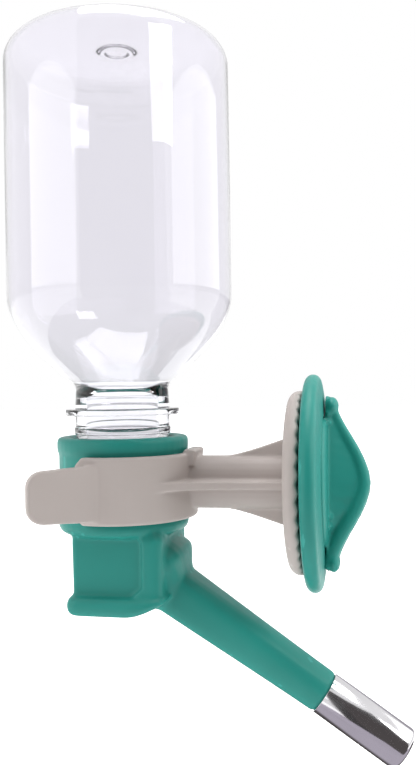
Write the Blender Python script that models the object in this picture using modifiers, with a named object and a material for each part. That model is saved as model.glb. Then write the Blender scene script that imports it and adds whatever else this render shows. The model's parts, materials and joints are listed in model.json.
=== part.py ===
"""Rabbit water bottle with a screw-on cage clamp.

A clear bottle stands upside down in a spout body. A one-piece holder clips
round the body's collar and carries a toothed disc and a threaded stud. A
pressure disc and a wing handle on the stud clamp the cage wires. A sprung
ball closes the steel nozzle.

Frame: origin at the centre of the holder's clamp face, +X out of that face,
+Z up along the bottle. Dimensions are in millimetres and are scaled by MM.
"""

import math

import bmesh
import bpy
from mathutils import Matrix, Vector

MM = 0.001
MERGE = 0.00001

# Driving dimensions.
BOTTLE_X = -53.0
TURNED_STEPS = 44
SMALL_STEPS = 32
THREAD_STEPS = 16

# Bottle, with a 28 mm neck finish. It stands on its mouth, base upwards.
BOTTLE_RADIUS = 32.5
BOTTLE_TOP = 127.0
BOTTLE_WALL = 0.6
HEEL_RADIUS = 7.0
PUNT_DEPTH = 1.6
SHOULDER_TOP = 54.0
SHOULDER_END = (14.8, 29.2)
NECK_RADIUS = 13.4
NECK_BORE = 10.87
SUPPORT_RING_RADIUS = 16.5
SUPPORT_RING_Z = 20.3
SUPPORT_RING_HALF = 0.9
BEAD_RADIUS = 14.0
BEAD_Z = 15.0
BEAD_HALF = 0.9
FINISH_ROOT = 12.45
MOUTH_Z = -0.7
NECK_PITCH = 3.18
NECK_THREAD_RADIUS = 13.72
NECK_THREAD_START = 1.8
NECK_THREAD_TURNS = 1.75

# Collar of the spout body.
FLANGE_RADIUS = 19.0
FLANGE_TOP = 13.3
FLANGE_BOTTOM = 8.8
COLLAR_RADIUS = 18.5
COLLAR_SWELL = 18.9
COLLAR_END = -14.0
COLLAR_ROUND = 2.7
COLLAR_BORE = 13.95
COLLAR_THREAD_CREST = 12.85
GASKET_SEAT = -3.3
WATER_PASSAGE = 8.2
WATER_FLOOR = -32.0

# Lower body: a box with a bead round its foot and a framed panel on each side.
BODY_LEFT = -11.2
BODY_RIGHT = 14.8
BODY_HALF_DEPTH = 15.6
BODY_CORNER = 2.2
BODY_DRAFT = 0.4
BODY_TOP = -11.0
BODY_BEAD_TOP = -30.1
BODY_BEAD_PROUD = 1.8
BODY_BOTTOM = -35.5
FOOT_CUT_TOP = -31.0
FOOT_CUT_SLOPE = 1.9
PANEL_DEPTH = 1.3
PANEL_TOP = -13.4
PANEL_BOTTOM = -30.2
PANEL_RIGHT = 9.4
PANEL_ROUND = 2.5
PANEL_CUT = 3.2

# Spout: its axis is in the plane Y = 0, and s runs along it from the steel.
SPOUT_TILT = math.radians(34.1)
SPOUT_END = (56.7, -58.1)
SPOUT_LENGTH = 54.0
SPOUT_RADIUS = 6.0
SPOUT_SWELL_HEIGHT = 0.75
SPOUT_SWELL_WIDTH = 1.5
SPOUT_DROP = 0.65
ROOT_START = -54.7
ROOT_END = -48.0
ROOT_HALF_HEIGHT = 9.7
ROOT_HALF_WIDTH = 12.2
ROOT_RISE = 1.6
ROOT_LEAD = 3.5
ROOT_PROUD = (0.4, 1.2)
SPIGOT_RADIUS = 5.2
SPIGOT_LENGTH = 9.0
SPOUT_BORE = 2.6
SPOUT_BORE_START = -60.5

# Steel nozzle and its valve.
NOZZLE_START = 0.3
NOZZLE_END = 26.4
NOZZLE_RADIUS = 6.0
NOZZLE_WALL = 0.5
NOZZLE_MOUTH = 3.8
BALL_RADIUS = 4.75
BALL_S = 22.6
SPRING_RADIUS = 3.5
SPRING_WIRE = 0.3
SPRING_TURNS = 6
O_RING_S = 4.5

# Holder: clip, finger tabs, arm and toothed disc.
CLIP_INNER = 18.8
CLIP_OUTER = 21.5
CLIP_TOP = 8.5
CLIP_BOTTOM = -9.8
CLIP_HALF_WRAP = math.radians(111.0)
TAB_ROOT_X = -0.9
TAB_LENGTH = 19.5
TAB_ROOT_HEIGHT = 15.2
TAB_HEIGHT = 13.9
TAB_THICKNESS = 2.6
TAB_CENTRE_Z = -1.0
TAB_CORNER = 4.3
TAB_DIRECTION = math.radians(219.0)
ARM_HALF_WIDTH = 5.6
ARM_HALF_HEIGHT = 7.5
RIB_HALF_WIDTH = 10.0
RIB_THICKNESS = 2.2
WEB_THICKNESS = 3.0
WEB_FLARE = 12.9
PAD_HALF_WIDTH = 6.0
PAD_BACK = 22.8
PAD_TOP = 9.6
PAD_FOOT = 5.0
PAD_CORNER = 0.6
DISC_RADIUS = 25.5
DISC_THICKNESS = 4.3
DISC_BACK_ROUND = 3.0
TEETH = 36
TOOTH_DEPTH = 0.7
TOOTH_INNER = 16.0

# Screw clamp.
CLAMP_PITCH = 2.2
STUD_ROOT = 2.6
STUD_CREST = 3.3
STUD_LENGTH = 12.0
STUD_THREAD_START = 1.6
STUD_THREAD_TURNS = 4.25
PRESSURE_GAP = 0.4
PRESSURE_RADIUS = 30.0
PRESSURE_NOSE = 2.1
PRESSURE_CROWN = 5.3
HUB_RADIUS = 17.9
HUB_BACK = 4.1
HUB_FRONT = 6.3
SLEEVE_RADIUS = 7.6
SLEEVE_END = 1.0
HANDLE_BORE = 3.6
HANDLE_THREAD_CREST = 2.9
HANDLE_BORE_END = 12.6
HANDLE_THREAD_TURNS = 3.5
FIN_BASE = 5.7
FIN_HALF_SPAN = 24.0
FIN_END_HEIGHT = 2.7
FIN_PEAK = 17.8
FIN_LOW_REACH = 0.8
FIN_SWAY = 2.8
NUB_RADIUS = 0.85
NUB_SPANS = (19.3, 16.8, -8.2, -10.8)

CLAMP_AXIS = Matrix.Rotation(math.radians(90.0), 4, "Y")
SPOUT_AXIS = Matrix.Rotation(math.radians(90.0) + SPOUT_TILT, 4, "Y")
OFF_SEAM = Matrix.Rotation(math.radians(7.0), 4, "Z")


def clear_scene():
    """Remove every object and collection that the scene starts with."""
    for item in list(bpy.data.objects):
        bpy.data.objects.remove(item, do_unlink=True)
    for item in list(bpy.data.collections):
        bpy.data.collections.remove(item)


def new_collection(name):
    collection = bpy.data.collections.new(name)
    bpy.context.scene.collection.children.link(collection)
    return collection


clear_scene()
PARTS = new_collection("rabbit_water_bottle")
TOOLS = new_collection("cutters")


def material(name, colour, roughness, metallic=0.0, transmission=0.0):
    """Return a Principled material."""
    result = bpy.data.materials.new(name)
    result.use_nodes = True
    shader = result.node_tree.nodes["Principled BSDF"]
    shader.inputs["Base Color"].default_value = (*colour, 1.0)
    shader.inputs["Roughness"].default_value = roughness
    shader.inputs["Metallic"].default_value = metallic
    shader.inputs["Transmission Weight"].default_value = transmission
    return result


TEAL = material("teal_plastic", (0.028, 0.262, 0.223), 0.38)
BEIGE = material("beige_plastic", (0.485, 0.434, 0.411), 0.42)
PET = material("clear_pet", (0.86, 0.85, 0.92), 0.05, transmission=1.0)
STEEL = material("stainless_steel", (0.62, 0.61, 0.60), 0.18, metallic=1.0)
SILICONE = material("silicone", (0.80, 0.80, 0.78), 0.55)
SPRING_STEEL = material("spring_steel", (0.55, 0.55, 0.56), 0.28, metallic=1.0)
BLACK_RUBBER = material("black_rubber", (0.02, 0.02, 0.02), 0.6)


def scaled(points):
    """Turn millimetre tuples into vectors in metres."""
    return [Vector(point) * MM for point in points]


def add_object(name, mesh, is_tool=False, finish=None, matrix=None):
    """Link a new object, as a part or as a hidden tool."""
    item = bpy.data.objects.new(name, mesh)
    if matrix is not None:
        item.matrix_world = matrix
    if is_tool:
        TOOLS.objects.link(item)
        item.hide_render = True
        item.display_type = "WIRE"
    else:
        PARTS.objects.link(item)
        mesh.materials.append(finish)
    return item


def placed(x, z, turn=None):
    """Matrix at a point of the plane Y = 0, turned about that point."""
    matrix = Matrix.Translation(Vector((x, 0.0, z)) * MM)
    return matrix if turn is None else matrix @ turn


def turned(name, profile, closed=False, steps=TURNED_STEPS, **options):
    """Turn a (radius, height) profile about local Z with a Screw modifier."""
    mesh = bpy.data.meshes.new(name)
    points = scaled([(radius, 0.0, height) for radius, height in profile])
    edges = [(index, index + 1) for index in range(len(points) - 1)]
    if closed:
        edges.append((len(points) - 1, 0))
    mesh.from_pydata(points, edges, [])
    item = add_object(name, mesh, **options)
    screw = item.modifiers.new("turn", "SCREW")
    screw.steps = steps
    screw.render_steps = steps
    screw.use_merge_vertices = True
    screw.merge_threshold = MERGE
    screw.use_smooth_shade = True
    return item


def loft(name, sections, **options):
    """Skin a row of equal-sized closed sections and cap both ends."""
    mesh = bpy.data.meshes.new(name)
    shape = bmesh.new()
    rows = []
    for section in sections:
        rows.append([shape.verts.new(Vector(point) * MM) for point in section])
    for row, following in zip(rows, rows[1:]):
        for index in range(len(row)):
            after = (index + 1) % len(row)
            shape.faces.new((row[index], row[after], following[after], following[index]))
    shape.faces.new(rows[0])
    shape.faces.new(rows[-1])
    bmesh.ops.recalc_face_normals(shape, faces=shape.faces)
    shape.to_mesh(mesh)
    shape.free()
    return add_object(name, mesh, **options)


def outline(name, points, thickness, matrix, **options):
    """Extrude a flat closed outline by a filled 2D curve, as a welded mesh."""
    curve = bpy.data.curves.new(name, "CURVE")
    curve.dimensions = "2D"
    curve.fill_mode = "BOTH"
    curve.extrude = thickness * MM / 2.0
    spline = curve.splines.new("POLY")
    spline.points.add(len(points) - 1)
    for slot, (x, y) in zip(spline.points, points):
        slot.co = (x * MM, y * MM, 0.0, 1.0)
    spline.use_cyclic_u = True
    guide = bpy.data.objects.new(name + "_curve", curve)
    bpy.context.scene.collection.objects.link(guide)
    depsgraph = bpy.context.evaluated_depsgraph_get()
    mesh = bpy.data.meshes.new_from_object(guide.evaluated_get(depsgraph))
    bpy.data.objects.remove(guide, do_unlink=True)
    shape = bmesh.new()
    shape.from_mesh(mesh)
    bmesh.ops.remove_doubles(shape, verts=shape.verts, dist=MERGE)
    bmesh.ops.recalc_face_normals(shape, faces=shape.faces)
    shape.to_mesh(mesh)
    shape.free()
    return add_object(name, mesh, matrix=matrix, **options)


def combine(target, tool, operation):
    """Join a tool to a part, or cut it away, with a live Boolean."""
    modifier = target.modifiers.new(tool.name, "BOOLEAN")
    modifier.operation = operation
    modifier.object = tool
    modifier.solver = "EXACT"


def arc(centre, radius, start, end, count):
    """Points of an arc from start to end degrees, both ends included."""
    result = []
    for index in range(count + 1):
        angle = math.radians(start + (end - start) * index / count)
        result.append((centre[0] + radius * math.cos(angle), centre[1] + radius * math.sin(angle)))
    return result


def bezier(start, first, second, end, count):
    """Points of a cubic curve, both ends included."""
    result = []
    for index in range(count + 1):
        t = index / count
        u = 1.0 - t
        weights = (u * u * u, 3.0 * u * u * t, 3.0 * u * t * t, t * t * t)
        corners = (start, first, second, end)
        x = sum(weight * corner[0] for weight, corner in zip(weights, corners))
        y = sum(weight * corner[1] for weight, corner in zip(weights, corners))
        result.append((x, y))
    return result


def thread_ridge(name, root, crest, pitch, start, turns, matrix, root_half, crest_half, steps):
    """Helical ridge that fades out at both ends, right-handed about local Z.

    A crest beyond the root radius gives an outside thread, and a crest inside
    it gives an inside thread. The flanks run on into the wall.
    """
    fade = steps // 4
    sink = 0.35 if crest > root else -0.35
    flank = (root_half - crest_half) / abs(crest - root)
    sunk = root - sink
    sunk_half = root_half + flank * abs(sink)
    count = round(turns * steps)
    sections = []
    for index in range(count + 1):
        angle = 2.0 * math.pi * (index + 0.5) / steps
        height = start + pitch * index / steps
        rise = min(1.0, (index + 1) / fade, (count + 1 - index) / fade)
        top = root + (crest - root) * rise
        corners = ((sunk, -sunk_half), (top, -crest_half), (top, crest_half), (sunk, sunk_half))
        sections.append(
            [(r * math.cos(angle), r * math.sin(angle), height + z) for r, z in corners]
        )
    return loft(name, sections, is_tool=True, matrix=matrix)


def swept_sections(corners, start, end, steps):
    """Sections of (radius, height) corners carried round local Z."""
    sections = []
    for index in range(steps + 1):
        angle = start + (end - start) * index / steps
        sections.append([(r * math.cos(angle), r * math.sin(angle), z) for r, z in corners])
    return sections


def smooth(item, degrees=35.0):
    """Shade a hand-lofted part smooth except at its real edges."""
    item.data.shade_smooth()
    item.data.set_sharp_from_angle(angle=math.radians(degrees))


# ---------------------------------------------------------------- bottle


def bottle_profile():
    """Closed (radius, height) outline of the bottle's wall."""
    wall = BOTTLE_WALL
    heel = (BOTTLE_RADIUS - HEEL_RADIUS, BOTTLE_TOP - HEEL_RADIUS)
    punt = BOTTLE_TOP - PUNT_DEPTH
    outside = [(0.0, punt), (5.6, punt), (6.6, punt + 0.9), (7.8, punt + 0.9), (8.8, punt + 0.1)]
    outside += [(17.0, punt + 0.8), (22.5, BOTTLE_TOP - 0.8)]
    outside += arc(heel, HEEL_RADIUS, 90.0, 0.0, 5)
    shoulder = ((BOTTLE_RADIUS, SHOULDER_TOP), (BOTTLE_RADIUS, 45.0), (22.0, 34.8), SHOULDER_END)
    outside += bezier(*shoulder, 7)
    outside += [(13.7, 28.0), (NECK_RADIUS, 26.8)]
    outside += ring_profile(NECK_RADIUS, SUPPORT_RING_RADIUS, SUPPORT_RING_Z, SUPPORT_RING_HALF)
    outside += ring_profile(NECK_RADIUS, BEAD_RADIUS, BEAD_Z, BEAD_HALF)
    outside += [(NECK_RADIUS, 13.2), (FINISH_ROOT, 12.4), (FINISH_ROOT, MOUTH_Z + 0.4)]
    outside += [(FINISH_ROOT - 0.4, MOUTH_Z), (NECK_BORE + 0.3, MOUTH_Z), (NECK_BORE, MOUTH_Z + 0.3)]
    inner_shoulder = (
        (NECK_BORE, 24.5),
        (NECK_BORE + 2.0, 29.8),
        (BOTTLE_RADIUS - wall, 41.5),
        (BOTTLE_RADIUS - wall, SHOULDER_TOP),
    )
    inside = bezier(*inner_shoulder, 6)
    inside += arc(heel, HEEL_RADIUS - wall, 0.0, 90.0, 4)
    inside += [(22.7, BOTTLE_TOP - 1.5), (17.2, punt + 0.1), (8.5, punt - 0.6), (0.0, punt - 0.7)]
    return outside + inside


def ring_profile(wall_radius, ring_radius, height, half):
    """Outline of a raised ring with softened edges, read downwards."""
    edge = 0.35
    return [
        (wall_radius, height + half),
        (ring_radius - edge, height + half),
        (ring_radius, height + half - edge),
        (ring_radius, height - half + edge),
        (ring_radius - edge, height - half),
        (wall_radius, height - half),
    ]


def make_bottle():
    base = placed(BOTTLE_X, 0.0)
    item = turned("bottle", bottle_profile(), finish=PET, matrix=base)
    ridge = thread_ridge(
        "bottle_thread",
        FINISH_ROOT,
        NECK_THREAD_RADIUS,
        NECK_PITCH,
        NECK_THREAD_START,
        NECK_THREAD_TURNS,
        base,
        root_half=1.0,
        crest_half=0.35,
        steps=SMALL_STEPS,
    )
    combine(item, ridge, "UNION")


def make_gasket():
    """Flat ring under the bottle's mouth."""
    top = MOUTH_Z - 0.3
    bottom = GASKET_SEAT + 0.3
    profile = [(13.3, top), (13.5, top - 0.2), (13.5, bottom), (10.5, bottom), (10.5, top)]
    matrix = placed(BOTTLE_X, 0.0)
    turned("bottle_gasket", profile, closed=True, steps=SMALL_STEPS, finish=SILICONE, matrix=matrix)


# ---------------------------------------------------------------- spout body


def body_section(height, proud=0.0):
    """Rounded section of the lower body at one height.

    Below FOOT_CUT_TOP its right side is cut away on a slope, under the spout.
    """
    draft = BODY_DRAFT * (BODY_TOP - height) / (BODY_TOP - BODY_BOTTOM)
    left = BODY_LEFT + draft - proud
    right = BODY_RIGHT + proud - FOOT_CUT_SLOPE * max(0.0, FOOT_CUT_TOP - height)
    depth = BODY_HALF_DEPTH + proud
    corner = BODY_CORNER + 0.4 * proud
    points = arc((right - corner, depth - corner), corner, 0.0, 90.0, 2)
    points += arc((left + corner, depth - corner), corner, 90.0, 180.0, 2)
    points += arc((left + corner, corner - depth), corner, 180.0, 270.0, 2)
    points += arc((right - corner, corner - depth), corner, 270.0, 360.0, 2)
    return [(x, y, height) for x, y in points]


def body_sections():
    """Plain walls that swell into a rounded bead at the foot."""
    sections = [
        body_section(BODY_TOP, -2.6),
        body_section(BODY_TOP - 2.2, -0.6),
        body_section(BODY_TOP - 3.6),
    ]
    middle = (BODY_BEAD_TOP + BODY_BOTTOM) / 2.0
    half_bead = (BODY_BEAD_TOP - BODY_BOTTOM) / 2.0
    for swell, level in arc((0.0, 0.0), 1.0, 90.0, -90.0, 6):
        sections.append(body_section(middle + half_bead * level, BODY_BEAD_PROUD * swell))
    return sections


def panel_outline():
    """Sunk panel, open towards the left wall, with its lower right corner cut."""
    left = BODY_LEFT - 4.0
    corner = (PANEL_RIGHT - PANEL_ROUND, PANEL_TOP - PANEL_ROUND)
    points = [(left, PANEL_BOTTOM), (PANEL_RIGHT - PANEL_CUT, PANEL_BOTTOM)]
    points.append((PANEL_RIGHT, PANEL_BOTTOM + 0.85 * PANEL_CUT))
    points += arc(corner, PANEL_ROUND, 0.0, 90.0, 4)
    points.append((left, PANEL_TOP))
    return points


def make_lower_body(base):
    """Lower body with both panels already cut."""
    body = loft("lower_body", body_sections(), is_tool=True, matrix=base)
    thickness = 6.0
    upright = Matrix.Rotation(math.radians(90.0), 4, "X")
    for side, name in ((-1.0, "front_panel"), (1.0, "rear_panel")):
        centre = side * (BODY_HALF_DEPTH - PANEL_DEPTH + 0.5 * thickness)
        matrix = base @ Matrix.Translation(Vector((0.0, centre, 0.0)) * MM) @ upright
        combine(body, outline(name, panel_outline(), thickness, matrix, is_tool=True), "DIFFERENCE")
    return body


def along_spout(s, t, y):
    """Point of the spout frame: s along the axis, t upwards across it."""
    x = SPOUT_END[0] + s * math.cos(SPOUT_TILT) + t * math.sin(SPOUT_TILT)
    z = SPOUT_END[1] - s * math.sin(SPOUT_TILT) + t * math.cos(SPOUT_TILT)
    return (x, y, z)


def squircle(half_height, half_width, power, count=24):
    """Rounded section between a circle (power 2) and a rectangle."""
    points = []
    for index in range(count):
        angle = 2.0 * math.pi * (index + 0.5) / count
        across = math.cos(angle)
        up = math.sin(angle)
        scale = (abs(across) ** power + abs(up) ** power) ** (-1.0 / power)
        points.append((half_height * scale * up, half_width * scale * across))
    return points


def spout_sections():
    """Flat-sided root that blends into a round tube."""
    sections = []
    steps = 8
    for index in range(steps + 1):
        rest = 1.0 - index / steps
        half_height = SPOUT_RADIUS + SPOUT_SWELL_HEIGHT * rest
        half_width = SPOUT_RADIUS + SPOUT_SWELL_WIDTH * rest
        section = squircle(half_height, half_width, 2.0 + 2.5 * rest ** 1.5)
        s = -SPOUT_LENGTH * rest
        sections.append([along_spout(s, t - SPOUT_DROP * rest, y) for t, y in section])
    return sections


def root_sections():
    """Shouldered pad that flows from the body's right face into the spout."""
    steps = 6
    rows = [(ROOT_START - ROOT_LEAD, 0.0)]
    for index in range(steps + 1):
        share = index / steps
        rows.append((ROOT_START + (ROOT_END - ROOT_START) * share, share * share * (3.0 - 2.0 * share)))
    sections = []
    for s, ease in rows:
        half_height = ROOT_HALF_HEIGHT + (SPOUT_RADIUS + ROOT_PROUD[0] - ROOT_HALF_HEIGHT) * ease
        half_width = ROOT_HALF_WIDTH + (SPOUT_RADIUS + ROOT_PROUD[1] - ROOT_HALF_WIDTH) * ease
        centre = ROOT_RISE * (1.0 - ease) - SPOUT_DROP * ease
        section = squircle(half_height, half_width, 4.5 - 1.0 * ease)
        sections.append([along_spout(s, t + centre, y) for t, y in section])
    return sections


def collar_profile():
    """Solid turned collar: flange, clip seat and rounded lower end."""
    profile = [(0.0, FLANGE_TOP)]
    profile += arc((FLANGE_RADIUS - 1.2, FLANGE_TOP - 1.2), 1.2, 90.0, 0.0, 3)
    profile += arc((FLANGE_RADIUS - 0.8, FLANGE_BOTTOM + 0.8), 0.8, 0.0, -60.0, 2)
    profile += [(COLLAR_RADIUS, FLANGE_BOTTOM), (COLLAR_RADIUS, COLLAR_END + 3.6)]
    corner = (COLLAR_SWELL - COLLAR_ROUND, COLLAR_END + COLLAR_ROUND)
    profile += arc(corner, COLLAR_ROUND, 10.0, -90.0, 4)
    profile.append((0.0, COLLAR_END))
    return profile


def water_way_profile():
    """Everything that the bore, gasket seat and water chamber remove."""
    return [
        (0.0, FLANGE_TOP + 1.0),
        (15.6, FLANGE_TOP + 1.0),
        (15.2, FLANGE_TOP - 0.2),
        (COLLAR_BORE, FLANGE_TOP - 1.6),
        (COLLAR_BORE, GASKET_SEAT),
        (WATER_PASSAGE, GASKET_SEAT),
        (WATER_PASSAGE, WATER_FLOOR + 3.0),
        (WATER_PASSAGE - 3.0, WATER_FLOOR),
        (0.0, WATER_FLOOR),
    ]


def spigot_profile():
    """Spigot that carries the steel nozzle, with an O-ring groove."""
    groove = 4.0
    groove_half = 0.85
    return [
        (0.0, SPIGOT_LENGTH),
        (SPIGOT_RADIUS - 0.4, SPIGOT_LENGTH),
        (SPIGOT_RADIUS, SPIGOT_LENGTH - 0.4),
        (SPIGOT_RADIUS, O_RING_S + groove_half),
        (groove, O_RING_S + groove_half),
        (groove, O_RING_S - groove_half),
        (SPIGOT_RADIUS, O_RING_S - groove_half),
        (SPIGOT_RADIUS, -2.0),
        (0.0, -2.0),
    ]


def make_spout_body():
    base = placed(BOTTLE_X, 0.0)
    spout_base = placed(BOTTLE_X + SPOUT_END[0], SPOUT_END[1], SPOUT_AXIS)
    item = turned("spout_body", collar_profile(), finish=TEAL, matrix=base)
    combine(item, make_lower_body(base), "UNION")
    combine(item, loft("root_pad", root_sections(), is_tool=True, matrix=base), "UNION")
    combine(item, loft("spout_tube", spout_sections(), is_tool=True, matrix=base), "UNION")
    spigot = turned("spigot", spigot_profile(), steps=SMALL_STEPS, is_tool=True, matrix=spout_base)
    combine(item, spigot, "UNION")
    water_way = turned("water_way", water_way_profile(), is_tool=True, matrix=base)
    combine(item, water_way, "DIFFERENCE")
    mouth = SPIGOT_LENGTH + 1.0
    bore = [(0.0, mouth), (SPOUT_BORE, mouth), (SPOUT_BORE, SPOUT_BORE_START), (0.0, SPOUT_BORE_START)]
    tilted = spout_base @ OFF_SEAM
    combine(item, turned("spout_bore", bore, steps=16, is_tool=True, matrix=tilted), "DIFFERENCE")
    ridge = thread_ridge(
        "collar_thread",
        COLLAR_BORE,
        COLLAR_THREAD_CREST,
        NECK_PITCH,
        NECK_THREAD_START + 0.5 * NECK_PITCH,
        NECK_THREAD_TURNS + 0.25,
        base,
        root_half=0.95,
        crest_half=0.35,
        steps=SMALL_STEPS,
    )
    combine(item, ridge, "UNION")


# ---------------------------------------------------------------- nozzle and valve


def make_nozzle():
    """Steel sleeve with a rolled-in tip, pushed over the spigot."""
    bore = NOZZLE_RADIUS - NOZZLE_WALL
    lip = 0.7
    roll = 1.6
    profile = [(NOZZLE_MOUTH + 0.3, NOZZLE_END)]
    profile += arc((NOZZLE_RADIUS - roll, NOZZLE_END - roll), roll, 90.0, 0.0, 5)
    profile += [(NOZZLE_RADIUS, NOZZLE_START), (bore, NOZZLE_START)]
    profile += arc((bore - 1.0, NOZZLE_END - lip - 1.0), 1.0, 0.0, 90.0, 3)
    profile += [(NOZZLE_MOUTH, NOZZLE_END - lip), (NOZZLE_MOUTH, NOZZLE_END - 0.3)]
    matrix = placed(BOTTLE_X + SPOUT_END[0], SPOUT_END[1], SPOUT_AXIS)
    turned("nozzle_sleeve", profile, closed=True, steps=SMALL_STEPS, finish=STEEL, matrix=matrix)


def spout_point(s):
    """Matrix on the spout axis at s, with local Z along the axis."""
    x, _, z = along_spout(s, 0.0, 0.0)
    return placed(BOTTLE_X + x, z, SPOUT_AXIS)


def make_ball():
    mesh = bpy.data.meshes.new("valve_ball")
    shape = bmesh.new()
    bmesh.ops.create_uvsphere(shape, u_segments=20, v_segments=12, radius=BALL_RADIUS * MM)
    shape.to_mesh(mesh)
    shape.free()
    item = add_object("valve_ball", mesh, finish=STEEL, matrix=spout_point(BALL_S))
    smooth(item)


def make_spring():
    """Compression spring between the spigot's end and the ball."""
    ball_reach = math.sqrt(BALL_RADIUS ** 2 - SPRING_RADIUS ** 2)
    start = SPIGOT_LENGTH + 2.0 * SPRING_WIRE
    end = BALL_S - ball_reach - 2.0 * SPRING_WIRE
    points_per_turn = 12
    count = SPRING_TURNS * points_per_turn
    curve = bpy.data.curves.new("valve_spring", "CURVE")
    curve.dimensions = "3D"
    curve.bevel_depth = SPRING_WIRE * MM
    curve.bevel_resolution = 1
    curve.use_fill_caps = True
    spline = curve.splines.new("POLY")
    spline.points.add(count)
    for index, slot in enumerate(spline.points):
        angle = 2.0 * math.pi * index / points_per_turn
        height = start + (end - start) * index / count
        x = SPRING_RADIUS * math.cos(angle)
        y = SPRING_RADIUS * math.sin(angle)
        slot.co = (x * MM, y * MM, height * MM, 1.0)
    matrix = placed(BOTTLE_X + SPOUT_END[0], SPOUT_END[1], SPOUT_AXIS)
    item = bpy.data.objects.new("valve_spring", curve)
    item.matrix_world = matrix
    PARTS.objects.link(item)
    curve.materials.append(SPRING_STEEL)


def make_o_ring():
    profile = arc((4.65, 0.0), 0.5, 90.0, -225.0, 7)
    turned("nozzle_o_ring", profile, closed=True, steps=24, finish=BLACK_RUBBER, matrix=spout_point(O_RING_S))


# ---------------------------------------------------------------- holder


def clip_sections():
    """C-shaped clip: a soft-edged band whose jaw ends are rounded."""
    steps = 40
    corner = 2.0
    edge = 0.5
    sections = []
    for index in range(steps + 1):
        angle = CLIP_HALF_WRAP * (2.0 * index / steps - 1.0)
        from_end = (CLIP_HALF_WRAP - abs(angle)) * CLIP_OUTER
        cut = 0.0
        if from_end < corner:
            cut = corner - math.sqrt(corner ** 2 - (corner - from_end) ** 2)
        low = CLIP_BOTTOM + cut
        high = CLIP_TOP - cut
        corners = (
            (CLIP_INNER, low),
            (CLIP_OUTER - edge, low),
            (CLIP_OUTER, low + edge),
            (CLIP_OUTER, high - edge),
            (CLIP_OUTER - edge, high),
            (CLIP_INNER, high),
        )
        sections.append([(r * math.cos(angle), r * math.sin(angle), z) for r, z in corners])
    return sections


def tab_matrix(side):
    """Frame of a finger tab: X along it, Y up it and Z through it."""
    direction = Vector((math.cos(TAB_DIRECTION), -side * math.sin(TAB_DIRECTION), 0.0))
    through = direction.cross(Vector((0.0, 0.0, 1.0)))
    root = Vector((BOTTLE_X + TAB_ROOT_X, side * 20.3, TAB_CENTRE_Z)) * MM
    matrix = Matrix((direction, (0.0, 0.0, 1.0), through)).transposed().to_4x4()
    matrix.translation = root
    return matrix


def tab_outline():
    half = TAB_HEIGHT / 2.0
    inner = TAB_LENGTH - TAB_CORNER
    points = [(0.0, -TAB_ROOT_HEIGHT / 2.0)]
    points += arc((inner, -half + TAB_CORNER), TAB_CORNER, -90.0, 0.0, 5)
    points += arc((inner, half - TAB_CORNER), TAB_CORNER, 0.0, 90.0, 5)
    points.append((0.0, TAB_ROOT_HEIGHT / 2.0))
    return points


def rib_outline():
    """Flat rib that runs out of the clip's flanks and along the arm."""
    flank = math.radians(55.0)
    root = (CLIP_OUTER * math.cos(flank), -CLIP_OUTER * math.sin(flank))
    lead = (root[0] + 8.0 * math.sin(flank), root[1] + 8.0 * math.cos(flank))
    end = -BOTTLE_X - DISC_THICKNESS + 1.0
    edge = bezier(root, lead, (26.0, -RIB_HALF_WIDTH), (36.0, -RIB_HALF_WIDTH), 8)
    lower = edge + [(end, -RIB_HALF_WIDTH)]
    upper = [(x, -y) for x, y in reversed(lower)]
    inner = arc((0.0, 0.0), 20.2, 53.0, -53.0, 12)
    return lower + upper + inner


def web_outline():
    """Upright web that flares from the arm to the disc."""
    end = -BOTTLE_X - DISC_THICKNESS + 1.0
    edge = bezier((28.0, 7.0), (35.0, 7.6), (41.0, 10.2), (end, WEB_FLARE), 7)
    return edge + [(x, -z) for x, z in reversed(edge)]


def make_arm(matrix):
    """Oval bar from the clip's wall into the disc."""
    start = 19.6
    end = -BOTTLE_X - DISC_THICKNESS + 1.0
    sections = []
    for x in (start, end):
        section = squircle(ARM_HALF_HEIGHT, ARM_HALF_WIDTH, 2.4, count=28)
        sections.append([(x, y, z) for z, y in section])
    return loft("arm", sections, is_tool=True, matrix=matrix)


def disc_profile():
    """Disc from its clamp face round the rim to its back."""
    rim = DISC_RADIUS
    profile = [(0.0, 0.0), (TOOTH_INNER, 0.0), (rim - 0.6, 0.0), (rim, -0.5)]
    corner = (rim - DISC_BACK_ROUND, -DISC_THICKNESS + DISC_BACK_ROUND)
    profile += arc(corner, DISC_BACK_ROUND, 0.0, -90.0, 4)
    profile.append((0.0, -DISC_THICKNESS))
    return profile


def make_toothed_disc():
    """Turned disc whose clamp face is pressed into radial teeth."""
    blank = turned("disc_blank", disc_profile(), steps=2 * TEETH, is_tool=True)
    depsgraph = bpy.context.evaluated_depsgraph_get()
    mesh = bpy.data.meshes.new_from_object(blank.evaluated_get(depsgraph))
    bpy.data.objects.remove(blank, do_unlink=True)
    for vertex in mesh.vertices:
        radius = math.hypot(vertex.co.x, vertex.co.y) / MM
        if radius > TOOTH_INNER + 1.0 and vertex.co.z > -1.0 * MM:
            angle = math.atan2(vertex.co.y, vertex.co.x)
            wave = 0.5 - 0.5 * math.cos(TEETH * angle)
            vertex.co.z -= TOOTH_DEPTH * wave * MM
    return add_object("toothed_disc", mesh, is_tool=True, matrix=CLAMP_AXIS)


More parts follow.
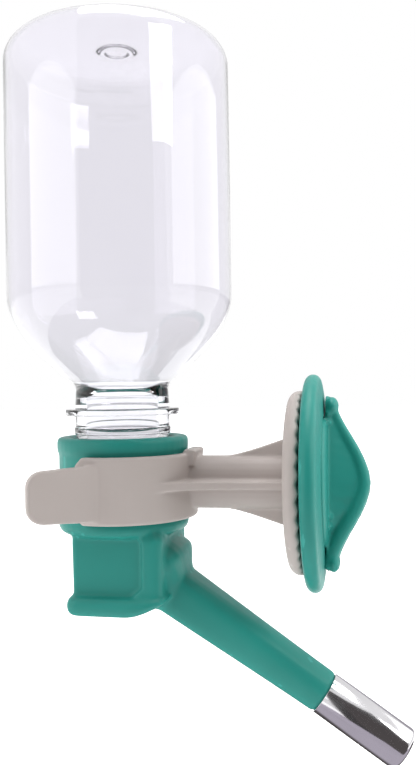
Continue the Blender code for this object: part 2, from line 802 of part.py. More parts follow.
def make_holder():
    base = placed(BOTTLE_X, 0.0)
    item = loft("holder", clip_sections(), finish=BEIGE, matrix=base)
    smooth(item)
    for side in (-1.0, 1.0):
        name = "finger_tab_front" if side < 0.0 else "finger_tab_rear"
        combine(item, outline(name, tab_outline(), TAB_THICKNESS, tab_matrix(side), is_tool=True), "UNION")
    combine(item, make_arm(base), "UNION")
    rib = outline("side_rib", rib_outline(), RIB_THICKNESS, base, is_tool=True)
    combine(item, rib, "UNION")
    upright = base @ Matrix.Rotation(math.radians(90.0), 4, "X")
    web = outline("upright_web", web_outline(), WEB_THICKNESS, upright, is_tool=True)
    combine(item, web, "UNION")
    front = CLIP_INNER + PAD_CORNER
    shoulder = PAD_BACK - PAD_CORNER
    pad = [(front, PAD_FOOT), (shoulder, PAD_FOOT), (PAD_BACK, PAD_TOP - PAD_CORNER)]
    pad += [(shoulder, PAD_TOP), (front, PAD_TOP)]
    combine(item, outline("arm_pad", pad, 2.0 * PAD_HALF_WIDTH, upright, is_tool=True), "UNION")
    combine(item, make_toothed_disc(), "UNION")
    stud = [(0.0, STUD_LENGTH), (STUD_ROOT - 0.8, STUD_LENGTH), (STUD_ROOT, STUD_LENGTH - 0.8)]
    stud += [(STUD_ROOT, -2.0), (0.0, -2.0)]
    combine(item, turned("stud", stud, steps=THREAD_STEPS, is_tool=True, matrix=CLAMP_AXIS), "UNION")
    ridge = thread_ridge(
        "stud_thread",
        STUD_ROOT,
        STUD_CREST,
        CLAMP_PITCH,
        STUD_THREAD_START,
        STUD_THREAD_TURNS,
        CLAMP_AXIS,
        root_half=0.75,
        crest_half=0.25,
        steps=THREAD_STEPS,
    )
    combine(item, ridge, "UNION")


# ---------------------------------------------------------------- screw clamp


def pressure_disc_profile():
    """Bull-nosed disc with a crown and a recess for the handle's hub."""
    nose = (PRESSURE_RADIUS - PRESSURE_NOSE, PRESSURE_GAP + PRESSURE_NOSE)
    lip = HUB_RADIUS + 0.3
    hole = SLEEVE_RADIUS + 0.3
    relief = 10.9
    profile = [(lip + 0.6, PRESSURE_CROWN), (lip + 2.8, PRESSURE_CROWN)]
    profile += arc(nose, PRESSURE_NOSE, 80.0, -90.0, 7)
    profile += [(relief, PRESSURE_GAP), (relief, 2.6), (hole, 2.6), (hole, HUB_BACK - 0.3)]
    profile += [(lip, HUB_BACK - 0.3), (lip, PRESSURE_CROWN - 0.4)]
    return profile


def make_pressure_disc():
    turned("pressure_disc", pressure_disc_profile(), closed=True, finish=TEAL, matrix=CLAMP_AXIS)


def fin_sway(span):
    """Sideways offset of the fin's middle line, an open S along its span."""
    return FIN_SWAY * math.sin(0.5 * math.pi * span / FIN_HALF_SPAN)


def fin_section(span):
    """Section of the handle's fin at one height along its span.

    One shoulder of the fin follows a bell curve. The other falls away faster,
    on the near side below the hub and on the far side above it.
    """
    share = span / FIN_HALF_SPAN
    swell = math.cos(0.48 * math.pi * share) ** 2
    end = max(0.0, (abs(share) - 0.86) / 0.14)
    fade = math.sqrt(max(0.0, 1.0 - 0.93 * end * end))
    high = (FIN_END_HEIGHT + (FIN_PEAK - FIN_BASE - FIN_END_HEIGHT) * swell) * fade
    low = high * max(0.3, 1.0 - (abs(share) / FIN_LOW_REACH) ** 1.6)
    foot = (4.6 + 2.2 * swell) * fade
    crest = (3.2 + 0.9 * swell) * fade
    sway = fin_sway(span)
    near, far = (low, high) if share < 0.0 else (high, low)
    rounding = min(1.9, 0.45 * low)
    points = [(FIN_BASE, sway - foot)]
    for index in range(4):
        turn = 0.5 * math.pi * index / 3
        across = sway - crest + rounding * (1.0 - math.cos(turn))
        points.append((FIN_BASE + near - rounding * (1.0 - math.sin(turn)), across))
    for index in range(4):
        turn = 0.5 * math.pi * (3 - index) / 3
        across = sway + crest - rounding * (1.0 - math.cos(turn))
        points.append((FIN_BASE + far - rounding * (1.0 - math.sin(turn)), across))
    points.append((FIN_BASE, sway + foot))
    return [(x, y, span) for x, y in points]


def make_nub(name, span):
    """Small bead at the foot of the fin's near side."""
    mesh = bpy.data.meshes.new(name)
    shape = bmesh.new()
    bmesh.ops.create_uvsphere(shape, u_segments=8, v_segments=6, radius=NUB_RADIUS * MM)
    shape.to_mesh(mesh)
    shape.free()
    near_foot = min(y for x, y, z in fin_section(span))
    spot = Vector((FIN_BASE + 1.0, near_foot + 0.1, span)) * MM
    return add_object(name, mesh, is_tool=True, matrix=Matrix.Translation(spot))


def make_handle():
    profile = [(0.0, HUB_FRONT), (HUB_RADIUS - 1.5, HUB_FRONT), (HUB_RADIUS - 1.5, HUB_FRONT - 0.4)]
    profile += [(HUB_RADIUS - 0.5, HUB_FRONT - 0.4), (HUB_RADIUS, HUB_FRONT - 0.9)]
    profile += [(HUB_RADIUS, HUB_BACK), (SLEEVE_RADIUS, HUB_BACK)]
    profile += [(SLEEVE_RADIUS, 2.4), (6.8, 2.4), (6.8, 1.3), (SLEEVE_RADIUS, 1.3)]
    profile += [(SLEEVE_RADIUS, SLEEVE_END), (0.0, SLEEVE_END)]
    item = turned("wing_handle", profile, finish=TEAL, matrix=CLAMP_AXIS)
    steps = 24
    turns = [0.5 * math.pi * (2.0 * index / steps - 1.0) for index in range(steps + 1)]
    sections = [fin_section(FIN_HALF_SPAN * math.sin(turn)) for turn in turns]
    combine(item, loft("fin", sections, is_tool=True), "UNION")
    for index, span in enumerate(NUB_SPANS):
        combine(item, make_nub("nub_{}".format(index + 1), span), "UNION")
    bore = [(0.0, HANDLE_BORE_END + 1.0), (HANDLE_BORE, HANDLE_BORE_END)]
    bore += [(HANDLE_BORE, SLEEVE_END + 1.0), (HANDLE_BORE + 0.8, SLEEVE_END - 1.0), (0.0, SLEEVE_END - 1.0)]
    bore_tool = turned("handle_bore", bore, steps=THREAD_STEPS, is_tool=True, matrix=CLAMP_AXIS)
    combine(item, bore_tool, "DIFFERENCE")
    ridge = thread_ridge(
        "handle_thread",
        HANDLE_BORE,
        HANDLE_THREAD_CREST,
        CLAMP_PITCH,
        STUD_THREAD_START + 0.5 * CLAMP_PITCH,
        HANDLE_THREAD_TURNS,
        CLAMP_AXIS,
        root_half=0.75,
        crest_half=0.25,
        steps=THREAD_STEPS,
    )
    combine(item, ridge, "UNION")


def make_snap_ring():
    """Split ring in the sleeve's groove, behind the pressure disc."""
    corners = ((7.1, 1.45), (10.3, 1.45), (10.3, 2.25), (7.1, 2.25))
    sections = swept_sections(corners, math.radians(22.0), math.radians(338.0), 24)
    item = loft("handle_snap_ring", sections, finish=SPRING_STEEL, matrix=CLAMP_AXIS)
    smooth(item)


make_bottle()
make_gasket()
make_spout_body()
make_nozzle()
make_ball()
make_spring()
make_o_ring()
make_holder()
make_pressure_disc()
make_handle()
make_snap_ring()
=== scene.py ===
"""Looks for the rabbit water bottle: finer visible pieces, materials, light and camera.

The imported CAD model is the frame. Each visible piece rides on a CAD body and
stands where the CAD node that it replaces stands. The handle's fin gets a rounded
rim here that its CAD solid does not have.
"""

import json
import math

import bmesh
import bpy
from mathutils import Matrix, Vector


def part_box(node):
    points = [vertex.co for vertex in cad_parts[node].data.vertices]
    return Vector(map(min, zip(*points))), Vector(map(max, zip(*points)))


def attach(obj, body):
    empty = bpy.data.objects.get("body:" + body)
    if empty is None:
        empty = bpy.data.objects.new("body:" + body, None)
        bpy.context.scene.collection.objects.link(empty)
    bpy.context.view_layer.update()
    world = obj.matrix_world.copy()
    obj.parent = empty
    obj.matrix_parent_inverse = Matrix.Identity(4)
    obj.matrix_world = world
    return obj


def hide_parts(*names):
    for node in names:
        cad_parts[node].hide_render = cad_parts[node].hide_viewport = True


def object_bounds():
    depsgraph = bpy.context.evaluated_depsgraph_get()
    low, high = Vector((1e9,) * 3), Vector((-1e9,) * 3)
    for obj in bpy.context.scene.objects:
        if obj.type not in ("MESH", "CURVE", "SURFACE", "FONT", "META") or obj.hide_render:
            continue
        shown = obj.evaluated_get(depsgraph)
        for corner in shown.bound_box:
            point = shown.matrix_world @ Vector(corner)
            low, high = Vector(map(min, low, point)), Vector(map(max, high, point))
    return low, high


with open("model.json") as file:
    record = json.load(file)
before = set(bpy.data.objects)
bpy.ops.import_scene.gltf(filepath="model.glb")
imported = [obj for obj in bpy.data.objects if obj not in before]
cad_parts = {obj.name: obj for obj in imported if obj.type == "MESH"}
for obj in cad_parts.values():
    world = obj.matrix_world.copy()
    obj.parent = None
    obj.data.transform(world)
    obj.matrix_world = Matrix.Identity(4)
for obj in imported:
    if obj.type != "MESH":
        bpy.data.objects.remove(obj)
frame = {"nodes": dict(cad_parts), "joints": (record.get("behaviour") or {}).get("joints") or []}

MM = 0.001
CAD_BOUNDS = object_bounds()
NODES = frame["nodes"]
JOINTS = {joint["name"]: joint for joint in frame["joints"]}
AXIS_X = JOINTS["spout_swivel"]["pos_m"][0] / MM
TIP_AXIS = -Vector(JOINTS["valve_press"]["axis"]).normalized()

SPOUT_ORIGIN = Vector((AXIS_X + 56.7, 0.0, -58.1))


# ------------------------------------------------------------------ camera

LENS = 38.212
SENSOR_WIDTH = 36.0
CAMERA_SPOT = Vector((18.8, -227.6, 27.0))
LOOK = Vector((-0.199, 0.980, 0.005542)).normalized()
ROLL_DEGREES = -1.0


def make_camera():
    data = bpy.data.cameras.new("camera")
    data.sensor_width = SENSOR_WIDTH
    data.lens = LENS
    data.clip_start = 0.01
    data.clip_end = 20.0
    camera = bpy.data.objects.new("camera", data)
    bpy.context.scene.collection.objects.link(camera)
    right = LOOK.cross(Vector((0.0, 0.0, 1.0))).normalized()
    up = right.cross(LOOK)
    turn = Matrix((right, up, -LOOK)).transposed().to_4x4()
    turn = turn @ Matrix.Rotation(math.radians(ROLL_DEGREES), 4, "Z")
    camera.matrix_world = Matrix.Translation(CAMERA_SPOT * MM) @ turn
    bpy.context.scene.camera = camera


make_camera()


# ------------------------------------------------------------------ materials


class Nodes:
    """Small helper that adds and links shader nodes."""

    def __init__(self, name):
        self.material = bpy.data.materials.new(name)
        self.material.use_nodes = True
        self.tree = self.material.node_tree
        self.shader = self.tree.nodes["Principled BSDF"]
        self.place = self.add("ShaderNodeTexCoord").outputs["Object"]

    def add(self, kind, inputs=None, **settings):
        node = self.tree.nodes.new(kind)
        for key, value in settings.items():
            setattr(node, key, value)
        for key, value in (inputs or {}).items():
            self.put(node.inputs[key], value)
        return node

    def put(self, socket, value):
        if isinstance(value, bpy.types.NodeSocket):
            self.tree.links.new(value, socket)
        else:
            socket.default_value = value

    def set(self, **values):
        for key, value in values.items():
            self.put(self.shader.inputs[key.replace("_", " ")], value)

    def noise(self, scale, detail=4.0, stretch=(1.0, 1.0, 1.0), roughness=0.5):
        place = self.add("ShaderNodeMapping", {"Vector": self.place, "Scale": stretch})
        inputs = {"Vector": place.outputs[0], "Scale": scale, "Detail": detail, "Roughness": roughness}
        return self.add("ShaderNodeTexNoise", inputs).outputs["Fac"]

    def band(self, value, low, high, to_low, to_high):
        inputs = {"Value": value, "From Min": low, "From Max": high, "To Min": to_low, "To Max": to_high}
        return self.add("ShaderNodeMapRange", inputs).outputs["Result"]

    def blend(self, factor, first, second):
        node = self.add("ShaderNodeMix", data_type="RGBA")
        self.put(node.inputs["Factor"], factor)
        first_colour, second_colour = [socket for socket in node.inputs if socket.type == "RGBA"]
        self.put(first_colour, first)
        self.put(second_colour, second)
        return [socket for socket in node.outputs if socket.type == "RGBA"][0]

    def bump(self, height, strength, distance):
        inputs = {"Height": height, "Strength": strength, "Distance": distance}
        return self.add("ShaderNodeBump", inputs).outputs["Normal"]


def moulded(name, colour, deep, pale, roughness, specular):
    """Injection-moulded plastic: slow colour drift, fine grain and a painted highlight on convex edges."""
    kit = Nodes(name)
    drift = kit.band(kit.noise(38.0, 3.0), 0.3, 0.7, 0.0, 1.0)
    base = kit.blend(drift, (*deep, 1.0), (*colour, 1.0))
    edge = kit.add("ShaderNodeNewGeometry").outputs["Pointiness"]
    # Painted highlight: convex edges are lightened towards the pale colour, as if light caught their
    # rounding.
    edge_highlight = kit.band(edge, 0.515, 0.58, 0.0, 0.55)
    base = kit.blend(edge_highlight, base, (*pale, 1.0))
    grain = kit.noise(5200.0, 2.0)
    flow = kit.noise(160.0, 5.0, (1.0, 1.0, 0.35))
    shine = kit.band(kit.noise(420.0, 4.0), 0.25, 0.75, roughness - 0.05, roughness + 0.07)
    fine = kit.bump(grain, 0.05, 0.00006)
    soft = kit.add("ShaderNodeBump", {"Height": flow, "Strength": 0.06, "Distance": 0.0004, "Normal": fine})
    kit.set(Base_Color=base, Roughness=shine, Normal=soft.outputs["Normal"])
    kit.set(Specular_IOR_Level=specular, IOR=1.49)
    return kit.material


def clear_pet():
    """Clear blown PET: faint lilac tint, slight ripples, hairline scuffs and painted shade that greys the
    neck and shoulder.
    """
    kit = Nodes("clear_pet_look")
    scuffs = kit.noise(900.0, 6.0, (1.0, 1.0, 0.06), 0.7)
    ripples = kit.noise(42.0, 2.0, (1.0, 1.0, 0.22))
    height = kit.add("ShaderNodeSeparateXYZ", {"Vector": kit.place}).outputs["Z"]
    # Painted shade: below 30 to 56 mm of height the tint turns greyer, standing in for the dim surroundings
    # that the neck and shoulder reflect.
    painted_neck_shade = kit.band(height, 0.030, 0.056, 1.0, 0.0)
    cloud = kit.blend(kit.noise(30.0, 2.0), (0.880, 0.870, 0.912, 1.0), (0.905, 0.895, 0.930, 1.0))
    tint = kit.blend(painted_neck_shade, cloud, (0.825, 0.825, 0.850, 1.0))
    shine = kit.band(scuffs, 0.60, 0.80, 0.012, 0.06)
    wave = kit.bump(ripples, 0.08, 0.0012)
    kit.set(Base_Color=tint, Roughness=shine, Normal=wave)
    kit.set(Transmission_Weight=1.0, IOR=1.45)
    return kit.material


def drawn_steel():
    """Polished stainless tube with faint turning marks and handling haze."""
    kit = Nodes("stainless_look")
    marks = kit.noise(260.0, 5.0, (9.0, 9.0, 1.0), 0.6)
    haze = kit.noise(120.0, 4.0)
    tone = kit.blend(haze, (0.66, 0.65, 0.67, 1.0), (0.74, 0.73, 0.75, 1.0))
    shine = kit.band(haze, 0.3, 0.7, 0.10, 0.17)
    kit.set(Base_Color=tone, Metallic=1.0, Roughness=shine)
    kit.set(Normal=kit.bump(marks, 0.008, 0.00008), Anisotropic=0.3)
    return kit.material


def plain_metal(name, colour, roughness):
    kit = Nodes(name)
    grain = kit.noise(1800.0, 3.0)
    shine = kit.band(grain, 0.3, 0.7, roughness - 0.04, roughness + 0.06)
    tone = kit.blend(kit.noise(200.0), tuple(0.9 * c for c in colour) + (1.0,), (*colour, 1.0))
    kit.set(Base_Color=tone, Metallic=1.0, Roughness=shine, Normal=kit.bump(grain, 0.05, 0.00004))
    return kit.material


def elastomer(name, colour, roughness, transmission=0.0):
    kit = Nodes(name)
    grain = kit.noise(2600.0, 3.0)
    tone = kit.blend(kit.noise(150.0), tuple(0.85 * c for c in colour) + (1.0,), (*colour, 1.0))
    shine = kit.band(grain, 0.3, 0.7, roughness - 0.08, roughness + 0.08)
    kit.set(Base_Color=tone, Roughness=shine, Normal=kit.bump(grain, 0.15, 0.00005))
    kit.set(Transmission_Weight=transmission)
    return kit.material


TEAL = moulded("teal_look", (0.020, 0.262, 0.222), (0.016, 0.238, 0.200), (0.05, 0.40, 0.35), 0.42, 0.30)
BEIGE = moulded("beige_look", (0.475, 0.425, 0.402), (0.450, 0.400, 0.378), (0.57, 0.52, 0.49), 0.50, 0.35)
PET = clear_pet()
STEEL = drawn_steel()
BALL = plain_metal("ball_look", (0.66, 0.65, 0.66), 0.12)
SPRING = plain_metal("spring_look", (0.52, 0.52, 0.53), 0.28)
SILICONE = elastomer("silicone_look", (0.80, 0.80, 0.78), 0.5, 0.25)
RUBBER = elastomer("rubber_look", (0.022, 0.022, 0.022), 0.6)


# ------------------------------------------------------------------ building helpers


def link(name, mesh, finish):
    piece = bpy.data.objects.new(name, mesh)
    bpy.context.scene.collection.objects.link(piece)
    mesh.materials.clear()
    mesh.materials.append(finish)
    return piece


def stand_for(piece, node, body):
    """Hand a finished piece to the frame in place of a CAD node."""
    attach(piece, body)
    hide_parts(node)
    return piece


def applied(piece):
    """Replace a piece's mesh with its evaluated one, and drop its modifiers."""
    depsgraph = bpy.context.evaluated_depsgraph_get()
    mesh = bpy.data.meshes.new_from_object(piece.evaluated_get(depsgraph))
    finish = piece.data.materials[0]
    piece.modifiers.clear()
    piece.data = mesh
    mesh.materials.clear()
    mesh.materials.append(finish)
    for polygon in mesh.polygons:
        polygon.use_smooth = True
        polygon.material_index = 0
    return piece


def softened(node, name, finish, voxel, passes, factor=0.5, lumps=()):
    """A CAD node's shape with every edge rounded as a mould would round it."""
    piece = link(name, with_lumps(NODES[node].data, lumps), finish)
    remesh = piece.modifiers.new("grid", "REMESH")
    remesh.mode = "VOXEL"
    remesh.voxel_size = voxel * MM
    smooth = piece.modifiers.new("round", "SMOOTH")
    smooth.factor = factor
    smooth.iterations = passes
    return applied(piece)


def with_lumps(mesh, lumps):
    """A copy of a mesh with overlapping ellipsoids added, for the grid to melt together."""
    shape = bmesh.new()
    shape.from_mesh(mesh)
    for centre, radii in lumps:
        made = bmesh.ops.create_icosphere(shape, subdivisions=3, radius=MM)
        bmesh.ops.scale(shape, vec=Vector(radii), verts=made["verts"])
        bmesh.ops.translate(shape, vec=Vector(centre) * MM, verts=made["verts"])
    joined = mesh.copy()
    shape.to_mesh(joined)
    shape.free()
    return joined


def lathe(name, profile, steps, matrix, finish):
    """Closed ring turned from a closed (radius, height) profile about local Z."""
    mesh = bpy.data.meshes.new(name)
    shape = bmesh.new()
    rows = []
    for index in range(steps):
        angle = 2.0 * math.pi * index / steps
        row = []
        for radius, height in profile:
            spot = Vector((radius * math.cos(angle), radius * math.sin(angle), height)) * MM
            row.append(shape.verts.new(spot))
        rows.append(row)
    count = len(profile)
    for row, following in zip(rows, rows[1:] + rows[:1]):
        for index in range(count):
            after = (index + 1) % count
            shape.faces.new((row[index], following[index], following[after], row[after]))
    bmesh.ops.remove_doubles(shape, verts=shape.verts, dist=0.000002)
    bmesh.ops.recalc_face_normals(shape, faces=shape.faces)
    shape.transform(matrix)
    shape.to_mesh(mesh)
    shape.free()
    mesh.shade_smooth()
    mesh.set_sharp_from_angle(angle=math.radians(50.0))
    return link(name, mesh, finish)


def arc(centre, radius, start, end, count):
    """Points of an arc from start to end degrees, both ends included."""
    points = []
    for index in range(count + 1):
        angle = math.radians(start + (end - start) * index / count)
        points.append((centre[0] + radius * math.cos(angle), centre[1] + radius * math.sin(angle)))
    return points


def bezier(start, first, second, end, count):
    """Points of a cubic curve, both ends included."""
    points = []
    for index in range(count + 1):
        t = index / count
        u = 1.0 - t
        weights = (u ** 3, 3.0 * u * u * t, 3.0 * u * t * t, t ** 3)
        corners = (start, first, second, end)
        points.append(tuple(sum(w * c[axis] for w, c in zip(weights, corners)) for axis in (0, 1)))
    return points


def ring(wall, radius, height, half, soft):
    """Raised ring with rounded edges, read downwards."""
    points = [(wall + 0.3, height + half + 0.1), (wall + 0.5, height + half)]
    points += arc((radius - soft, height + half - soft), soft, 90.0, 0.0, 4)
    points += arc((radius - soft, height - half + soft), soft, 0.0, -90.0, 4)
    points += [(wall + 0.5, height - half), (wall + 0.3, height - half - 0.1)]
    return points


UPRIGHT = Matrix.Translation(Vector((AXIS_X, 0.0, 0.0)) * MM)
CLAMP = Matrix.Rotation(math.radians(90.0), 4, "Y")
TILT = Vector((0.0, 0.0, 1.0)).rotation_difference(TIP_AXIS).to_matrix().to_4x4()
SPOUT = Matrix.Translation(SPOUT_ORIGIN * MM) @ TILT


# ------------------------------------------------------------------ bottle

THREAD_ROOT = 12.45
THREAD_DEPTH = 1.27
THREAD_START = 1.8
THREAD_PITCH = 3.18
THREAD_TURNS = 1.75
THREAD_STEPS = 96
THREAD_FADE = 24.0


def bottle_profile():
    """Outline of the bottle's thin wall, from the base's centre round to itself."""
    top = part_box("bottle")[1].z / MM
    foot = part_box("bottle")[0].z / MM
    outer = (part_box("bottle")[1].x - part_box("bottle")[0].x) / 2.0 / MM
    wall = 0.6
    neck = 13.4
    heel_radius = 7.0
    shoulder = 54.0
    dish = top - 1.6
    middle = dish + 0.15
    crest = dish + 0.75
    dish_inside = dish - 0.7
    heel = (outer - heel_radius, top - heel_radius)
    points = [(0.0, middle), (2.2, middle)]
    points += bezier((2.2, middle), (3.2, middle), (3.2, crest), (4.2, crest), 6)[1:]
    points += bezier((4.2, crest), (5.2, crest), (5.2, dish), (6.4, dish), 6)[1:]
    points += bezier((6.4, dish), (12.0, dish), (18.0, top - 0.25), (heel[0], top), 14)[1:-1]
    points += arc(heel, heel_radius, 90.0, 0.0, 14)
    points += bezier((outer, shoulder), (outer, 45.0), (22.0, 34.8), (14.8, 29.2), 26)
    points += bezier((14.8, 29.2), (14.0, 28.5), (13.45, 27.8), (neck, 26.6), 5)[1:]
    points += ring(neck, 16.5, 20.3, 0.9, 0.4)
    points += ring(neck, 14.0, 15.0, 0.9, 0.5)
    points += [(neck, 13.2), (THREAD_ROOT, 12.4), (THREAD_ROOT, foot + 0.5)]
    points += arc((12.0, foot + 0.45), 0.45, 0.0, -90.0, 3)
    points += arc((11.3, foot + 0.4), 0.4, -90.0, -180.0, 3)
    points += bezier((10.87, 24.5), (12.87, 29.8), (outer - wall, 41.5), (outer - wall, shoulder), 26)
    points += arc(heel, heel_radius - wall, 0.0, 90.0, 12)
    inside = (heel[0] - 0.4, top - wall)
    points += bezier(inside, (18.0, top - 0.9), (12.0, dish_inside), (6.0, dish_inside), 10)
    points += [(0.0, dish_inside)]
    return points


def make_bottle():
    piece = lathe("bottle_shell", bottle_profile(), 160, UPRIGHT, PET)
    stand_for(piece, "bottle", "bottle")


def make_thread():
    """Ridge of the neck's thread, which rises out of the neck at both its ends."""
    thread = bpy.data.meshes.new("bottle_thread")
    shape = bmesh.new()
    rows = []
    last = round(THREAD_TURNS * THREAD_STEPS)
    for index in range(last + 1):
        angle = 2.0 * math.pi * (index + 0.5) / THREAD_STEPS
        height = THREAD_START + THREAD_PITCH * index / THREAD_STEPS
        rise = min(1.0, (index + 1) / THREAD_FADE, (last - index + 1) / THREAD_FADE)
        crest = THREAD_ROOT + THREAD_DEPTH * rise
        corners = [(12.3, -1.0), (crest - 0.25, -0.55), (crest, -0.25)]
        corners += [(crest, 0.25), (crest - 0.25, 0.55), (12.3, 1.0)]
        row = []
        for radius, rise_z in corners:
            spot = Vector((radius * math.cos(angle), radius * math.sin(angle), height + rise_z)) * MM
            row.append(shape.verts.new(spot))
        rows.append(row)
    for row, following in zip(rows, rows[1:]):
        for index in range(len(row)):
            after = (index + 1) % len(row)
            shape.faces.new((row[index], following[index], following[after], row[after]))
    shape.faces.new(rows[0])
    shape.faces.new(rows[-1])
    bmesh.ops.recalc_face_normals(shape, faces=shape.faces)
    shape.transform(UPRIGHT)
    shape.to_mesh(thread)
    shape.free()
    thread.shade_smooth()
    ridge = link("bottle_thread", thread, PET)
    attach(ridge, "bottle")


# ------------------------------------------------------------------ nozzle and clamp disc


def make_nozzle():
    """Steel tube with a rolled end, along the spout's axis."""
    end = 26.4
    outer = 6.0
    roll = 1.6
    mouth = 4.1
    profile = [(5.5, 0.3), (outer - 0.12, 0.3), (outer, 0.42)]
    profile += arc((outer - roll, end - roll), roll, 0.0, 90.0, 14)
    profile += arc((mouth, end - 0.3), 0.3, 90.0, 180.0, 5)
    profile += arc((mouth, end - 0.5), 0.25, 180.0, 270.0, 4)
    profile += arc((4.5, end - 1.7), 1.0, 90.0, 0.0, 8)
    piece = lathe("nozzle_tube", profile, 128, SPOUT, STEEL)
    stand_for(piece, "nozzle_sleeve", "spout_body")


def make_ball():
    radius = 4.75
    along = 22.6
    mesh = bpy.data.meshes.new("nozzle_ball")
    shape = bmesh.new()
    bmesh.ops.create_icosphere(shape, subdivisions=5, radius=radius * MM)
    shape.transform(SPOUT @ Matrix.Translation(Vector((0.0, 0.0, along)) * MM))
    shape.to_mesh(mesh)
    shape.free()
    mesh.shade_smooth()
    piece = link("nozzle_ball", mesh, BALL)
    stand_for(piece, "valve_ball", "valve_ball")


def make_pressure_disc():
    """Bull-nosed disc: a rounded rim, a low crown and a fine lip round the hub."""
    low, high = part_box("pressure_disc")
    outer = high.z / MM
    gap = low.x / MM
    crown = high.x / MM
    nose = 2.1
    lip = 0.3
    hub_hole = 18.2
    back_hole = 10.9
    bore = 7.9
    web_low = 2.6
    web_high = 3.8
    profile = arc((hub_hole + lip, crown - lip), lip, 180.0, 90.0, 3)
    edge = (outer - nose, gap + 2.0 * nose + 0.02)
    profile += bezier((19.0, crown), (23.0, crown), (26.0, crown - 0.3), edge, 10)
    profile += arc((outer - nose, gap + nose), nose, 88.0, -90.0, 22)
    profile += [(back_hole, gap), (back_hole, web_low), (bore, web_low)]
    profile += [(bore, web_high), (hub_hole, web_high)]
    piece = lathe("pressure_plate", profile, 160, CLAMP, TEAL)
    stand_for(piece, "pressure_disc", "pressure_disc")


def handle_rim():
    """Thick rounded rim along the fin's near edge, with a bulb at each end."""
    base = 5.7
    rise = 2.7
    half_span = 24.0
    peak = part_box("wing_handle")[1].x / MM
    lumps = []
    steps = 84
    for index in range(steps + 1):
        share = 0.88 * (2.0 * index / steps - 1.0)
        swell = math.cos(0.48 * math.pi * share) ** 2
        crest = base + rise + (peak - base - rise) * swell
        radius = 1.75 - 0.35 * share
        drop = radius + 0.15 + (0.9 * math.sin(math.pi * -share) if share < 0.0 else 0.0)
        near = 2.8 * math.sin(0.5 * math.pi * share) - 2.7 - 0.7 * swell
        lumps.append(((crest - drop, near, half_span * share), (radius, radius, radius)))
    lumps.append(((7.6, 0.6, 21.0), (1.8, 3.6, 2.7)))
    lumps.append(((7.5, -4.6, -21.0), (1.85, 3.4, 2.9)))
    return lumps


make_bottle()
make_thread()
make_nozzle()
make_ball()
make_pressure_disc()
spout = softened("spout_body", "spout_shell", TEAL, 0.42, 16)
stand_for(spout, "spout_body", "spout_body")
holder = softened("holder", "holder_shell", BEIGE, 0.36, 5)
stand_for(holder, "holder", "holder")
handle = softened("wing_handle", "handle_shell", TEAL, 0.34, 12, lumps=handle_rim())
stand_for(handle, "wing_handle", "wing_handle")

for node, finish in (
    ("bottle_gasket", SILICONE),
    ("nozzle_o_ring", RUBBER),
    ("valve_spring", SPRING),
    ("handle_snap_ring", SPRING),
):
    NODES[node].data.materials.clear()
    NODES[node].data.materials.append(finish)
    NODES[node].data.shade_smooth()
    NODES[node].data.set_sharp_from_angle(angle=math.radians(35.0))


# ------------------------------------------------------------------ stage and light

BOTTLE_SPOT = Vector((AXIS_X, 0.0, 0.0)) * MM
FLOOR_DROP = 0.06
SOFTBOX_DISTANCE = 0.42
SOFTBOX_HEIGHT = 0.185


def around(degrees, distance, height, centre=BOTTLE_SPOT):
    """A point round the bottle, by its bearing from the front towards the right."""
    angle = math.radians(degrees)
    return centre + Vector((distance * math.sin(angle), -distance * math.cos(angle), height))


def make_floor():
    """Pale floor a little below the part, which hangs from its clamp."""
    mesh = bpy.data.meshes.new("floor")
    shape = bmesh.new()
    bmesh.ops.create_grid(shape, x_segments=1, y_segments=1, size=6.0)
    shape.to_mesh(mesh)
    shape.free()
    kit = Nodes("floor_look")
    tone = kit.blend(kit.noise(3.0, 2.0), (0.90, 0.90, 0.90, 1.0), (0.92, 0.92, 0.92, 1.0))
    kit.set(Base_Color=tone, Roughness=1.0, Emission_Color=(1.0, 1.0, 1.0, 1.0), Emission_Strength=0.55)
    floor = link("floor", mesh, kit.material)
    floor.location.z = CAD_BOUNDS[0].z - FLOOR_DROP


def make_dark_screen(name, bearings, heights, distance, steps):
    """Curved dark screen in front of the part, which only reflections and light meet."""
    mesh = bpy.data.meshes.new(name)
    shape = bmesh.new()
    columns = []
    for index in range(steps + 1):
        bearing = bearings[0] + (bearings[1] - bearings[0]) * index / steps
        columns.append([shape.verts.new(around(bearing, distance, height)) for height in heights])
    for column, following in zip(columns, columns[1:]):
        shape.faces.new((column[0], following[0], following[1], column[1]))
    shape.to_mesh(mesh)
    shape.free()
    kit = Nodes(name + "_look")
    tone = kit.blend(kit.noise(5.0, 2.0), (0.030, 0.028, 0.028, 1.0), (0.040, 0.037, 0.037, 1.0))
    kit.set(Base_Color=tone, Roughness=1.0)
    screen = link(name, mesh, kit.material)
    screen.visible_camera = False
    screen.visible_transmission = False


def make_card(name, corners, near_tone, far_tone):
    """Flat card that only reflections meet, shaded from its near to its far side."""
    mesh = bpy.data.meshes.new(name)
    shape = bmesh.new()
    shape.faces.new([shape.verts.new(Vector(corner)) for corner in corners])
    shape.to_mesh(mesh)
    shape.free()
    kit = Nodes(name + "_look")
    depth = kit.add("ShaderNodeSeparateXYZ", {"Vector": kit.place}).outputs["Y"]
    change = kit.band(depth, 0.0, 0.03, 0.0, 1.0)
    tone = kit.blend(change, near_tone, far_tone)
    glow = kit.blend(kit.band(kit.noise(9.0, 2.0), 0.3, 0.7, 0.0, 0.1), tone, (0.0, 0.0, 0.0, 1.0))
    kit.set(Base_Color=(0.0, 0.0, 0.0, 1.0), Roughness=1.0, Specular_IOR_Level=0.0)
    kit.set(Emission_Color=glow, Emission_Strength=1.0)
    card = link(name, mesh, kit.material)
    card.visible_camera = False
    card.visible_transmission = False
    card.visible_diffuse = False
    card.visible_shadow = False


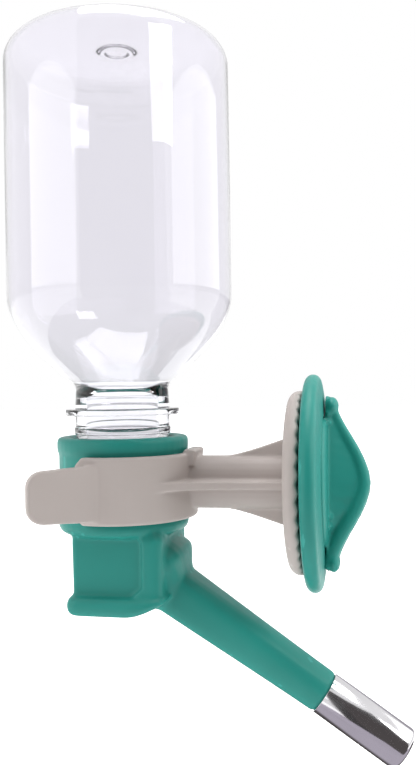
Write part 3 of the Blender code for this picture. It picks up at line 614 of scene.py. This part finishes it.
def make_cards():
    """Grey table with the part's shadow painted on its far side, dark room and grey backdrop, as polished
    steel would show them.
    """
    table = CAD_BOUNDS[0].z - FLOOR_DROP + 0.004
    grey = (0.56, 0.52, 0.60, 1.0)
    dark = (0.10, 0.09, 0.09, 1.0)
    pale = (0.46, 0.44, 0.48, 1.0)
    sheet = [(-0.30, -0.42, table), (0.30, -0.42, table), (0.30, 0.12, table), (-0.30, 0.12, table)]
    # Painted shadow: the table card turns dark beyond y = 0.03 m, behind the part, standing in for the
    # part's shadow on the table.
    make_card("table_card", sheet, grey, dark)
    near = -0.115
    room = [(-0.01, near, -0.065), (0.22, near, -0.209), (0.22, near, -0.020)]
    room += [(0.15, near, 0.050), (-0.01, near, 0.050)]
    make_card("room_card", room, dark, dark)
    back = 0.28
    backdrop = [(0.02, back, -0.10), (0.26, back, -0.10), (0.26, back, 0.06), (0.02, back, 0.06)]
    make_card("backdrop_card", backdrop, pale, pale)


def make_softbox(name, spot, target, width, height, watts):
    data = bpy.data.lights.new(name, "AREA")
    data.shape = "RECTANGLE"
    data.size = width
    data.size_y = height
    data.energy = watts
    lamp = bpy.data.objects.new(name, data)
    bpy.context.scene.collection.objects.link(lamp)
    lamp.location = spot
    lamp.rotation_mode = "QUATERNION"
    lamp.rotation_quaternion = (target - spot).to_track_quat("-Z", "Y")
    lamp.visible_camera = False


def make_world():
    world = bpy.data.worlds.new("studio")
    world.use_nodes = True
    background = world.node_tree.nodes["Background"]
    background.inputs["Color"].default_value = (1.0, 1.0, 1.0, 1.0)
    background.inputs["Strength"].default_value = 1.0
    bpy.context.scene.world = world


make_floor()
make_world()
make_dark_screen("front_screen", (-20.0, 62.0), (-0.13, 0.45), 0.38, 24)
make_cards()
LEFT_SPOT = around(-50.0, SOFTBOX_DISTANCE, SOFTBOX_HEIGHT)
RIGHT_SPOT = around(101.0, SOFTBOX_DISTANCE, SOFTBOX_HEIGHT)
SIDE_TARGET = BOTTLE_SPOT + Vector((0.0, 0.0, SOFTBOX_HEIGHT))
CLAMP_SPOT = Vector((0.0, 0.0, 0.0))
TOP_SPOT = Vector((0.0, 0.0, 0.55))
RIGHT_FILL_SPOT = Vector((0.42, -0.26, 0.36))
make_softbox("left_softbox", LEFT_SPOT, SIDE_TARGET, 0.43, 0.20, 0.30)
make_softbox("right_softbox", RIGHT_SPOT, SIDE_TARGET, 0.52, 0.20, 0.45)
make_softbox("top_softbox", TOP_SPOT, CLAMP_SPOT, 0.40, 0.40, 2.6)
make_softbox("right_fill", RIGHT_FILL_SPOT, CLAMP_SPOT, 0.22, 0.22, 1.1)
bpy.context.scene.view_settings.view_transform = "Standard"
